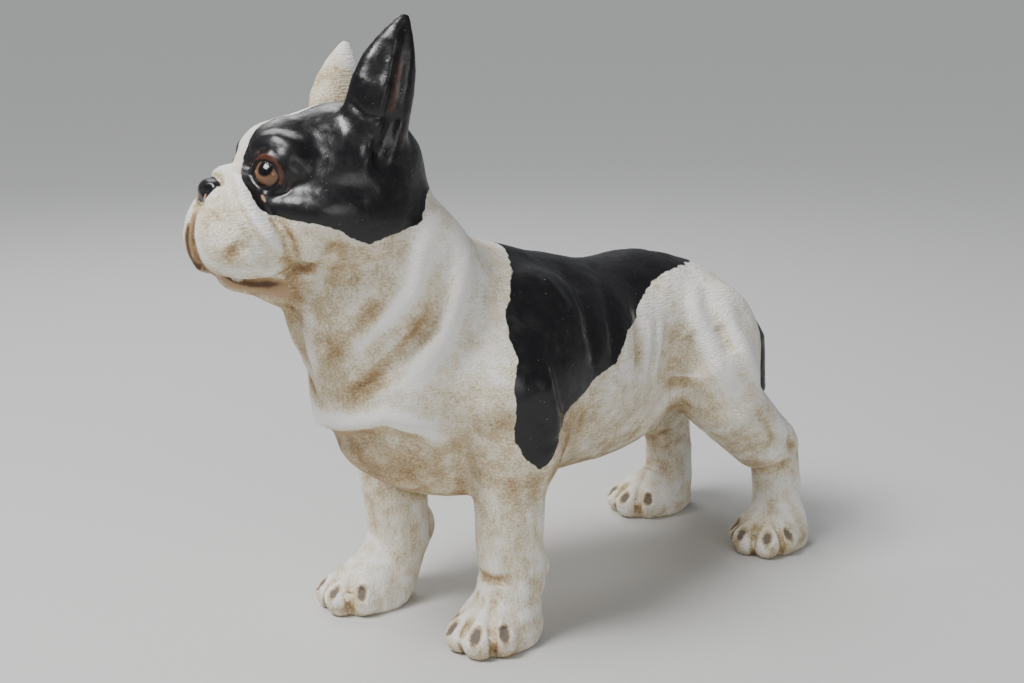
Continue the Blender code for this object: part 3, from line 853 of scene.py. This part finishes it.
def distance_to_path(p, path):
    """The distance from each point to a path, in space or in a plane."""
    path = np.array(path, float)
    best = np.full(len(p), 1e3)
    for a, b in zip(path, path[1:]):
        t = np.clip((p - a) @ (b - a) / ((b - a) @ (b - a)), 0, 1)
        best = np.minimum(best, np.linalg.norm(p - a - t[:, None] * (b - a), axis=1))
    return best


def spot(*place):
    """One place of the head's own frame, set on the neck."""
    return on_head([place])[0]


p = points_of(statue)
n = points_of(statue, "normal")
STAINS_AND_SHADOWS = (  # where the wash was left thick or a painted shadow lies (under the chest's ledge, the jowl, the chin and the belly, in the armpit and inside the legs), how far it spreads and how strong it is
    ((0, -212, 140), 46, 0.4),
    ((88, -96, 140), 26, 0.5),
    ((78, -140, 122), 24, 0.35),
    ((76, -140, 84), 16, 0.3),
    ((56, 48, 168), 24, 0.15),
    ((0, 0, 100), 60, 0.25),
    ((40, 100, 118), 26, 0.2),
    ((-54, -150, 90), 22, 0.3),
    ((-57, 120, 80), 34, 0.35),
    (spot(46, -12, -50), 22, 0.2),
    (spot(21, -28, -66), 18, 0.35),
    (spot(0, -16, -80), 26, 0.5),
    (spot(40, -72, -40), 7, 0.45),
    (spot(40, -64, -28), 6, 0.3),
    (spot(27, -85, -24), 5, 0.3),
    (spot(-29, 23, 68), 13, 0.5),
)
LEDGE_EDGE = [(-20, -229, 165), (23, -230, 168), (37, -224, 172), (49, -213, 171), (55, -197, 165)]
LEDGE_EDGE += [(54, -176, 153)]
LIP_EDGE = [(12, -89, -28), (24, -86, -46), (34, -66, -50), (34, -46, -52)]
BRUSHED_AND_HIGHLIGHTED = (  # edges that were brushed white again and carry a painted highlight, and how wide
    (LEDGE_EDGE, 5),
    (THIGH_CREST, 7),
    (HIND_CREST, 6),
    (NECK_ROLL, 6),
    (COLLAR_ROLL, 7),
    (on_head(LIP_EDGE), 5),
)
THICK_WASH_AND_SHADE = 0.6  # from here on the wash and the painted shade gather ever more slowly
# The short reaches follow the wash in the creases, and the 14 mm reach paints the shade of the larger hollows
hollow = 0.8 * sheltered(p, n, 3.0) + 0.8 * sheltered(p, n, 7.0) + 0.6 * sheltered(p, n, 14.0)
# White on the ridges: dry-brushed paint, partly a painted highlight
ridge = 0.5 * proud(p, n, 3.0) + 0.7 * proud(p, n, 8.0)
# Painted shade: skin facing down takes more brown, and skin facing up takes less
wash_and_shade = hollow - 0.45 * np.clip(n[:, 2], -1, 0.4)
for place, spread, strength in STAINS_AND_SHADOWS:
    wash_and_shade += strength * np.exp(-((np.linalg.norm(p - place, axis=1) / spread) ** 2))
for path, width in BRUSHED_AND_HIGHLIGHTED:
    wash_and_shade -= 0.55 * np.exp(-((distance_to_path(p, path) / width) ** 2))
eased = THICK_WASH_AND_SHADE * (1 + np.tanh(wash_and_shade / THICK_WASH_AND_SHADE - 1))
wash_and_shade = np.where(wash_and_shade > THICK_WASH_AND_SHADE, eased, wash_and_shade)
print("the wash covers", round(float((wash_and_shade > 0.4).mean() * 100)), "per cent of the skin heavily")

# %% [markdown]
# ## The black patches
# A mask over the left side of the face, a smaller one over the right eye, a saddle over the back and
# the tail are glossy black. Mask and saddle are drawn as they look from the dog's side, and the
# paint is on the inside of the line. A white blaze parts the two masks.

# %% Patch outlines
def inside_outline(points, outline):
    """Signed distance to a closed outline in a plane, negative inside it."""
    outline = [*outline, outline[0]]
    inside = np.zeros(len(points), bool)
    for a, b in zip(outline, outline[1:]):
        crosses = (a[1] > points[:, 1]) != (b[1] > points[:, 1])
        rise = b[1] - a[1] or 1e-9
        inside ^= crosses & (points[:, 0] < (b[0] - a[0]) * (points[:, 1] - a[1]) / rise + a[0])
    nearest = distance_to_path(points, outline)
    return np.where(inside, -nearest, nearest)


SADDLE = (
    (-82, 310), (-88, 268), (-97, 262), (-114, 256), (-121, 247), (-132, 234), (-136, 222), (-136, 212),
    (-141, 202), (-146, 189), (-145, 169), (-142, 151), (-137, 140), (-127, 132), (-120, 136), (-114, 145),
    (-106, 156), (-97, 165), (-79, 174), (-65, 182), (-42, 188), (-31, 196), (-22, 207), (-1, 211), (8, 219),
    (22, 226), (40, 233), (61, 237), (84, 235), (108, 236), (112, 310),
)
SADDLE_SHIFT = (6, -8)  # how the saddle's edge differs on the dog's right side
MASK = (
    (-34, 70), (-39, 44), (-47, 35), (-51, 26), (-53, 16), (-57, 9), (-59, 3), (-57, -8), (-53, -14),
    (-47, -19), (-35, -22), (-19, -29), (-8, -31), (3, -38), (11, -41), (19, -38), (28, -35), (43, -32),
    (50, -28), (57, -18), (80, 10), (84, 60), (70, 130), (10, 130), (-6, 90),
)
BLAZE_HALF_WIDTH = 11.0  # at the muzzle, and it narrows over the crown
RIGHT_MASK_BACK = 16
RIGHT_MASK_TOP = 44
TAIL_PAINT = 2.0  # the paint goes this far past the tail's own surface

head_p = (p - np.array(HEAD_CENTRE)) @ HEAD_AXES
saddle = inside_outline(p[:, 1:], SADDLE)
saddle = np.where(p[:, 0] < 0, inside_outline(p[:, 1:] + np.array(SADDLE_SHIFT), SADDLE), saddle)
mask = inside_outline(head_p[:, 1:], MASK)
blaze = BLAZE_HALF_WIDTH * np.clip(1 - (head_p[:, 1] + 55) / 60, 0.3, 1) - head_p[:, 0]
left_mask = np.maximum(mask, blaze)
right_mask = np.maximum(mask, head_p[:, 0] + BLAZE_HALF_WIDTH * 1.2)
right_mask = np.maximum.reduce([right_mask, head_p[:, 1] - RIGHT_MASK_BACK, head_p[:, 2] - RIGHT_MASK_TOP])
on_tail = np.minimum.reduce([lump.gap(p) for lump in tail()])
black = np.minimum.reduce([saddle, left_mask, right_mask, on_tail - TAIL_PAINT])
print("black paint covers", round(float((black < 0).mean() * 100)), "per cent of the skin")

# %% [markdown]
# ## Lips, nose, claws and ears
# The smaller colours follow the carving: brown runs along the mouth, where it is partly lip paint and partly
# painted shade under and between the hanging lips, the nose is black, the claws are a grey horn colour, and a
# red-brown sits deep in the slit of the ear.

# %% Small colours
def head_distance(path):
    """Distance to a path of the head's own frame, on either side of the face."""
    return np.minimum(*[distance_to_path(p, on_head(one)) for one, _, _ in both(path, 1, 1)])


MOUTH = [(0, -82, -44), (10, -78, -51), (15, -67, -58), (19, -55, -61), (20, -45, -62), (22, -35, -63)]
SPLIT = [(-2, -83, -14), (-3, -85, -26), (-6, -85, -38), (-9, -80, -46)]
LOWER_LIP = [(4, -79, -52), (9, -73, -56), (12, -67, -61), (16, -57, -64), (18, -36, -68)]
FAR_FLEW = [(-8, -87, -26), (-11, -88, -34), (-13, -86, -42), (-13, -81, -50)]
NOSTRIL_EDGE = [(6, -81, -9), (10, -79, -5)]
TEAR_SPOT = [(36, -50, -6.5), (37, -49, -10)]
CLAW_PAINT_AHEAD = 8.4
CLAW_PAINT_HALF = (3.7, 6.3)  # half the width and half the length of a claw's paint
CLAW_REACH = 11
LID_RIM_RADIUS = 11.5
LID_RIM_TURNS = (-35, 125)  # the painted part of the rim, in degrees up from the outer corner
LID_REACH = 16
OPENING_MIDDLE = (2.8, 2.2)  # across and up from the eyeball's middle
OPENING_HALF = (10.0, 8.2)
FAR = 9.0  # stands for a place out of reach

mouth = head_distance(MOUTH)
# The line widens towards the corner of the mouth, where it paints the shade in the mouth's deep corner, and
# then runs out
mouth -= 2.4 * np.clip((head_p[:, 1] + 70) / 30, 0, 1)
mouth += 5.5 * np.clip((head_p[:, 1] + 46) / 13, 0, 1)
# The split between the hanging lips and the far lip's inner side are painted dark as the shade between the
# lips
split = distance_to_path(p, on_head(SPLIT))
lower_lip = head_distance(LOWER_LIP)
far_flew = distance_to_path(p, on_head(FAR_FLEW))
tan = np.minimum(head_distance(NOSTRIL_EDGE), head_distance(TEAR_SPOT) + 1)
nose = np.minimum.reduce([lump.gap(p) for lump in placed(nose_pad())])
claws = np.full(len(p), FAR)
for toe, way in claw_places():
    from_claw = p - (toe + way * CLAW_PAINT_AHEAD + np.array([0, 0, CLAW_HEIGHT]))
    side = np.cross(way, [0, 0, 1])
    oval = np.hypot(from_claw @ side / CLAW_PAINT_HALF[0], from_claw @ claw_up(way) / CLAW_PAINT_HALF[1])
    claws = np.minimum(claws, np.where(np.linalg.norm(from_claw, axis=1) < CLAW_REACH, oval, FAR))
slit_paths = [Ear(side).slit(SLIT_BACK, 0.9, (0.0, 0.3, 0.6)) for side in (1, -1)]
slits = np.minimum.reduce([distance_to_path(p, path) for path in slit_paths])
eye = np.minimum.reduce([np.abs(lump.gap(p)) for lump in eyeballs])
from_eye = np.abs(head_p) * [1, 0, 0] + head_p * [0, 1, 1] - np.array(EYE)
rise = from_eye[:, 2]
across = from_eye @ np.array([math.cos(math.radians(GAZE)), math.sin(math.radians(GAZE)), 0])
turn = np.degrees(np.arctan2(rise, across))
off_rim = np.abs(np.hypot(across, rise) - LID_RIM_RADIUS)
off_rim += FAR * (np.linalg.norm(from_eye, axis=1) > LID_REACH)
lid_rims = off_rim + FAR * ((turn < LID_RIM_TURNS[0]) | (turn > LID_RIM_TURNS[1]))
almond = 1 - ((across - OPENING_MIDDLE[0]) / OPENING_HALF[0]) ** 2
opening = np.abs(rise - OPENING_MIDDLE[1]) - OPENING_HALF[1] * almond
eye = np.maximum(eye, opening * 0.5)
print("the paint of the claws covers", int((claws < 1).sum()), "points")

# %% Writing the numbers on the skin
numbers = {
    "black": black,
    "wash_and_shade": wash_and_shade,
    "ridge": ridge,
    "mouth": np.minimum(mouth, split + 0.6),
    "far_flew": far_flew,
    "tan": tan,
    "lid_rims": lid_rims,
    "lower_lip": lower_lip,
    "nose": nose,
    "claws": claws,
    "slits": slits,
    "eye": eye,
    "upright_hair": np.clip((95 - p[:, 2]) / 40, 0, 1),
}
for name, values in numbers.items():
    layer = statue.data.attributes.new(name, "FLOAT", "POINT")
    layer.data.foreach_set("value", values.astype(np.float32))
print("the skin carries", len(numbers), "numbers of the painter's")

# %% Into metres
design_middle = (p.min(axis=0) + p.max(axis=0)) / 2
design_middle[2] = 0
cad_middle = np.array([(cad_low[0] + cad_high[0]) / 2, (cad_low[1] + cad_high[1]) / 2, cad_low[2]])


def in_metres(points):
    """Design millimetres to metres in the statue's own frame."""
    return (np.asarray(points, float) - design_middle) * MM + cad_middle


set_points(statue, in_metres(p))
statue.data.shade_smooth()
print("the painted statue measures", [round(v, 3) for v in statue.dimensions])

# %% [markdown]
# ## Paint
# The finish is built in the order the painter works: cream white, lighter on the ridges with dry brushing and
# a painted highlight, then a brown wash that stays in the hollows and also paints shade in the hollows and
# underneath, then brush strokes that follow the hair, then glossy black.

# %% A paint table
class PaintTable:
    """Adds shader nodes to one material and joins them up."""

    def __init__(self, name):
        self.material = bpy.data.materials.new(name)
        self.material.use_nodes = True
        self.tree = self.material.node_tree
        self.shader = self.tree.nodes["Principled BSDF"]

    def add(self, kind, *values, **settings):
        made = self.tree.nodes.new("ShaderNode" + kind)
        for key, value in settings.items():
            setattr(made, key, value)
        for place, value in enumerate(values):
            self.feed(made.inputs[place], value)
        return made.outputs[0]

    def feed(self, socket, value):
        if isinstance(value, bpy.types.NodeSocket):
            self.tree.links.new(value, socket)
        else:
            socket.default_value = value

    def number(self, name):
        made = self.tree.nodes.new("ShaderNodeAttribute")
        made.attribute_name = name
        return made.outputs["Fac"]

    def place(self):
        return self.tree.nodes.new("ShaderNodeTexCoord").outputs["Object"]

    def maths(self, operation, a, b):
        return self.add("Math", a, b, operation=operation)

    def distance(self, point):
        """How far each place on the skin is from one point."""
        made = self.add("VectorMath", self.place(), tuple(point), operation="DISTANCE")
        return made.node.outputs["Value"]

    def sum(self, first, *others):
        """A value with shares of others added. Each other is a value and its share."""
        for value, share in others:
            first = self.maths("ADD", first, self.maths("MULTIPLY", value, share))
        return first

    def grain(self, scale, detail=3.0, stretch=(1, 1, 1), turn=(0, 0, 0)):
        """Noise either side of 0. A stretch below 1 draws it out along that axis."""
        place = self.place()
        if stretch != (1, 1, 1):
            made = self.tree.nodes.new("ShaderNodeMapping")
            self.feed(made.inputs["Vector"], place)
            made.inputs["Rotation"].default_value = turn
            made.inputs["Scale"].default_value = stretch
            place = made.outputs[0]
        made = self.tree.nodes.new("ShaderNodeTexNoise")
        self.feed(made.inputs["Vector"], place)
        made.inputs["Scale"].default_value = scale
        made.inputs["Detail"].default_value = detail
        return self.maths("SUBTRACT", made.outputs["Fac"], 0.5)

    def span(self, value, low, high):
        """The value stretched from low..high to 0..1, held at both ends."""
        return self.add("MapRange", value, low, high, 0.0, 1.0, interpolation_type="SMOOTHSTEP")

    def mix(self, share, first, second):
        """A colour between two, or a number between two."""
        made = self.tree.nodes.new("ShaderNodeMix")
        colours = isinstance(second, tuple) or getattr(first, "type", "") == "RGBA"
        made.data_type = "RGBA" if colours else "FLOAT"
        names = {socket.identifier: socket for socket in made.inputs}
        kind = "Color" if colours else "Float"
        self.feed(names["Factor_Float"], share)
        self.feed(names["A_" + kind], first)
        self.feed(names["B_" + kind], second)
        return {socket.identifier: socket for socket in made.outputs}["Result_" + kind]


print("the paint table is ready")

# %% [markdown]
# ## The colours
# These are the painter's pots. The cream is dry-brushed over a khaki ground, and the white on the ridges is
# partly a painted highlight. The wash goes from ochre to dark brown where it pools, and the same browns paint
# shade in the hollows, under overhangs and on the undersides.

# %% The pots
WHITE = (0.90, 0.88, 0.83, 1)
CREAM = (0.78, 0.71, 0.57, 1)
KHAKI = (0.57, 0.46, 0.29, 1)
OCHRE = (0.37, 0.24, 0.115, 1)
DARK_BROWN = (0.09, 0.037, 0.014, 1)
BLACK = (0.006, 0.005, 0.006, 1)
WORN_BLACK = (0.055, 0.022, 0.008, 1)
LIP_TAN = (0.47, 0.29, 0.17, 1)
CLAW = (0.17, 0.135, 0.105, 1)
AMBER = (0.19, 0.095, 0.05, 1)
RED_BROWN = (0.13, 0.040, 0.020, 1)
print("there are eleven pots of paint")

# %% Painting the white coat
paint = PaintTable("painted_resin")
wash_and_shade_number = paint.number("wash_and_shade")
ridge_number = paint.number("ridge")
blotches = paint.grain(26, 3)
small_blotches = paint.grain(110, 3)
fine_blotches = paint.grain(650, 2)
hair_down = paint.grain(800, 2, stretch=(1, 1, 0.12))
hair_back = paint.grain(800, 2, stretch=(1, 0.12, 1), turn=(0.45, 0, 0))
hair = paint.mix(paint.number("upright_hair"), hair_back, hair_down)
# The ground is browner with the wash and the painted shade, and whiter on the ridges with dry brushing and a
# painted highlight
ground = paint.sum(wash_and_shade_number, (blotches, 0.9), (small_blotches, 1.0), (fine_blotches, 1.2), (hair, 0.9))
ground = paint.sum(ground, (ridge_number, -0.9))
coat = paint.mix(paint.span(ground, -0.35, 0.05), WHITE, CREAM)
for low, high, pot in ((0.05, 0.5, KHAKI), (0.45, 1.0, OCHRE), (1.0, 1.5, DARK_BROWN)):
    coat = paint.mix(paint.span(ground, low, high), coat, pot)
print("the white coat is on")

# %% Painting lips, claws and ears
lower_lip_number = paint.sum(paint.number("lower_lip"), (small_blotches, 6.0))
flew_number = paint.sum(paint.number("far_flew"), (small_blotches, 4.0))
mouth_number = paint.sum(paint.number("mouth"), (small_blotches, 2.0))
claw_number = paint.sum(paint.number("claws"), (small_blotches, 1.2), (fine_blotches, 0.6))
LAYERS = (  # which number, where the paint starts and where it is full, and the pot
    (lower_lip_number, 5.5, 2.5, LIP_TAN),
    # The far lip's inner side and the mouth line go ochre to dark brown: the lips' own brown with painted
    # shade under and between the hanging lips
    (flew_number, 6.5, 4.0, OCHRE),
    (flew_number, 4.6, 2.0, DARK_BROWN),
    (mouth_number, 6.5, 2.4, OCHRE),
    (mouth_number, 2.6, -0.4, DARK_BROWN),
    (claw_number, 1.35, 1.05, KHAKI),
    (claw_number, 1.05, 0.65, CLAW),
)
for number, start, full, pot in LAYERS:
    coat = paint.mix(paint.span(number, start, full), coat, pot)
coat = paint.mix(paint.maths("MULTIPLY", paint.span(paint.number("slits"), 5.0, 1.0), 0.7), coat, OCHRE)
print("the small colours are on")

# %% Painting the black
edge = paint.sum(paint.number("black"), (paint.grain(60, 1), 6.0), (paint.grain(240, 2), 2.0))
is_black = paint.span(edge, 0.4, -0.4)
worn = paint.span(paint.sum(wash_and_shade_number, (blotches, 1.4)), 0.45, 1.15)
gloss = paint.mix(worn, BLACK, WORN_BLACK)
gloss = paint.mix(paint.maths("MULTIPLY", paint.span(paint.number("slits"), 3.5, 1.0), 0.6), gloss, RED_BROWN)
specks = paint.span(paint.grain(700, 0), 0.34, 0.37)
gloss = paint.mix(paint.maths("MULTIPLY", specks, 0.4), gloss, KHAKI)
coat = paint.mix(is_black, coat, gloss)
is_nose = paint.span(paint.number("nose"), 1.6, 1.0)
coat = paint.mix(is_nose, coat, BLACK)
coat = paint.mix(paint.span(paint.number("tan"), 2.4, 1.4), coat, LIP_TAN)
glossy = paint.maths("MAXIMUM", is_black, is_nose)
print("the black is on")

# %% Painting the eyes
PUPIL = (EYE[0] + 7.2, EYE[1] - 6.2, EYE[2] + 4.4)
IRIS_EDGE = (0.0090, 0.0125)  # metres from the pupil's middle
# The black pupil is drawn wide, so that it also paints the shade of the upper lid over the top and front of
# the eyeball
PUPIL_AND_LID_SHADE_EDGE = (0.0064, 0.0044)
pupils = [on_head([(side * PUPIL[0], *PUPIL[1:])])[0] for side in (1, -1)]
nearest = paint.maths("MINIMUM", *[paint.distance(in_metres(pupil)) for pupil in pupils])
lid_edge = paint.span(paint.sum(paint.number("lid_rims"), (small_blotches, 4.0)), 2.0, 0.6)
coat = paint.mix(paint.maths("MULTIPLY", lid_edge, 0.6), coat, RED_BROWN)
in_eye = paint.span(paint.number("eye"), 0.55, 0.3)
iris = paint.mix(paint.span(nearest, *IRIS_EDGE), AMBER, DARK_BROWN)
iris = paint.mix(paint.span(nearest, *PUPIL_AND_LID_SHADE_EDGE), iris, BLACK)
coat = paint.mix(in_eye, coat, iris)
glossy = paint.maths("MAXIMUM", glossy, in_eye)
print("the pupils are at", [tuple(round(float(v), 3) for v in in_metres(pupil)) for pupil in pupils])

# %% Gloss and brush marks
paint.feed(paint.shader.inputs["Base Color"], coat)
shine = paint.sum(0.34, (small_blotches, 0.5))
paint.feed(paint.shader.inputs["Roughness"], paint.mix(glossy, 0.7, paint.mix(in_eye, shine, 0.12)))
white_marks = paint.sum(paint.maths("MULTIPLY", hair, 1.0), (small_blotches, 0.6), (fine_blotches, 0.5))
black_marks = paint.sum(paint.maths("MULTIPLY", small_blotches, 0.4), (fine_blotches, 0.05), (blotches, 1.6))
marks = paint.mix(glossy, white_marks, paint.mix(in_eye, black_marks, 0.0))
bump = paint.tree.nodes.new("ShaderNodeBump")
bump.inputs["Strength"].default_value = 0.6
bump.inputs["Distance"].default_value = 0.002
paint.feed(bump.inputs["Height"], marks)
paint.feed(paint.shader.inputs["Normal"], bump.outputs[0])
statue.data.materials.clear()
statue.data.materials.append(paint.material)
print("the material has", len(paint.tree.nodes), "nodes")

# %% [markdown]
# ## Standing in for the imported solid
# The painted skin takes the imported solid's place in the picture and rides on the same body.

# %% Riding and replacing
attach(statue, "root")
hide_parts("bulldog_statue")
print("the painted statue replaces the packed solid")

# %% [markdown]
# ## Floor, light and camera
# A pale floor and large soft lights show the form as a photographer's table would.

# %% Floor and light
FLOOR_SIZE = 600  # so wide that its edge doesn't show
bpy.ops.mesh.primitive_plane_add(size=FLOOR_SIZE, location=(0, 0, 0))
floor = bpy.context.object
floor.name = "pale_floor"
floor_paint = bpy.data.materials.new("pale_floor")
floor_paint.use_nodes = True
floor_shader = floor_paint.node_tree.nodes["Principled BSDF"]
floor_shader.inputs["Base Color"].default_value = (0.62, 0.62, 0.61, 1)
floor_shader.inputs["Roughness"].default_value = 0.8
floor.data.materials.append(floor_paint)

world = bpy.data.worlds.new("soft_room")
bpy.context.scene.world = world
world.use_nodes = True
glow = world.node_tree.nodes["Background"]
glow.inputs["Color"].default_value = (0.72, 0.75, 0.80, 1)
glow.inputs["Strength"].default_value = 0.26


def soft_light(name, place, aim, width, height, watts):
    lamp = bpy.data.lights.new(name, "AREA")
    lamp.shape = "RECTANGLE"
    lamp.size = width
    lamp.size_y = height
    lamp.energy = watts
    made = bpy.data.objects.new(name, lamp)
    bpy.context.scene.collection.objects.link(made)
    made.location = place
    made.rotation_euler = (Vector(aim) - Vector(place)).to_track_quat("-Z", "Y").to_euler()


soft_light("window", (-0.15, -1.15, 1.75), (0, -0.05, 0.2), 0.9, 0.7, 30)
soft_light("far_window", (-1.3, 0.5, 1.4), (0, 0, 0.2), 1.0, 0.8, 10)
soft_light("room", (1.8, -0.5, 0.9), (0, 0.0, 0.18), 1.2, 1.0, 9)
sky = bpy.data.lights.new("sky", "SUN")
sky.energy = 1.6
sky.angle = math.radians(25)
sky_lamp = bpy.data.objects.new("sky", sky)
bpy.context.scene.collection.objects.link(sky_lamp)
sky_lamp.rotation_euler = Vector((0.15, 0.5, -0.85)).to_track_quat("-Z", "Y").to_euler()
print("four soft lights are up")

# %% The camera
CAMERA_PLACE = (774.9, -740.3, 440.0)  # design millimetres
CAMERA_AZIMUTH = math.radians(49.12)
CAMERA_DIP = math.radians(13.5)
camera_data = bpy.data.cameras.new("camera")
camera_data.sensor_width = 36
camera_data.lens = 50.98
camera = bpy.data.objects.new("camera", camera_data)
bpy.context.scene.collection.objects.link(camera)
camera.location = in_metres(CAMERA_PLACE)
camera.rotation_euler = (math.pi / 2 - CAMERA_DIP, 0, CAMERA_AZIMUTH)
bpy.context.scene.camera = camera
print("the camera stands at", [round(v, 3) for v in camera.location])
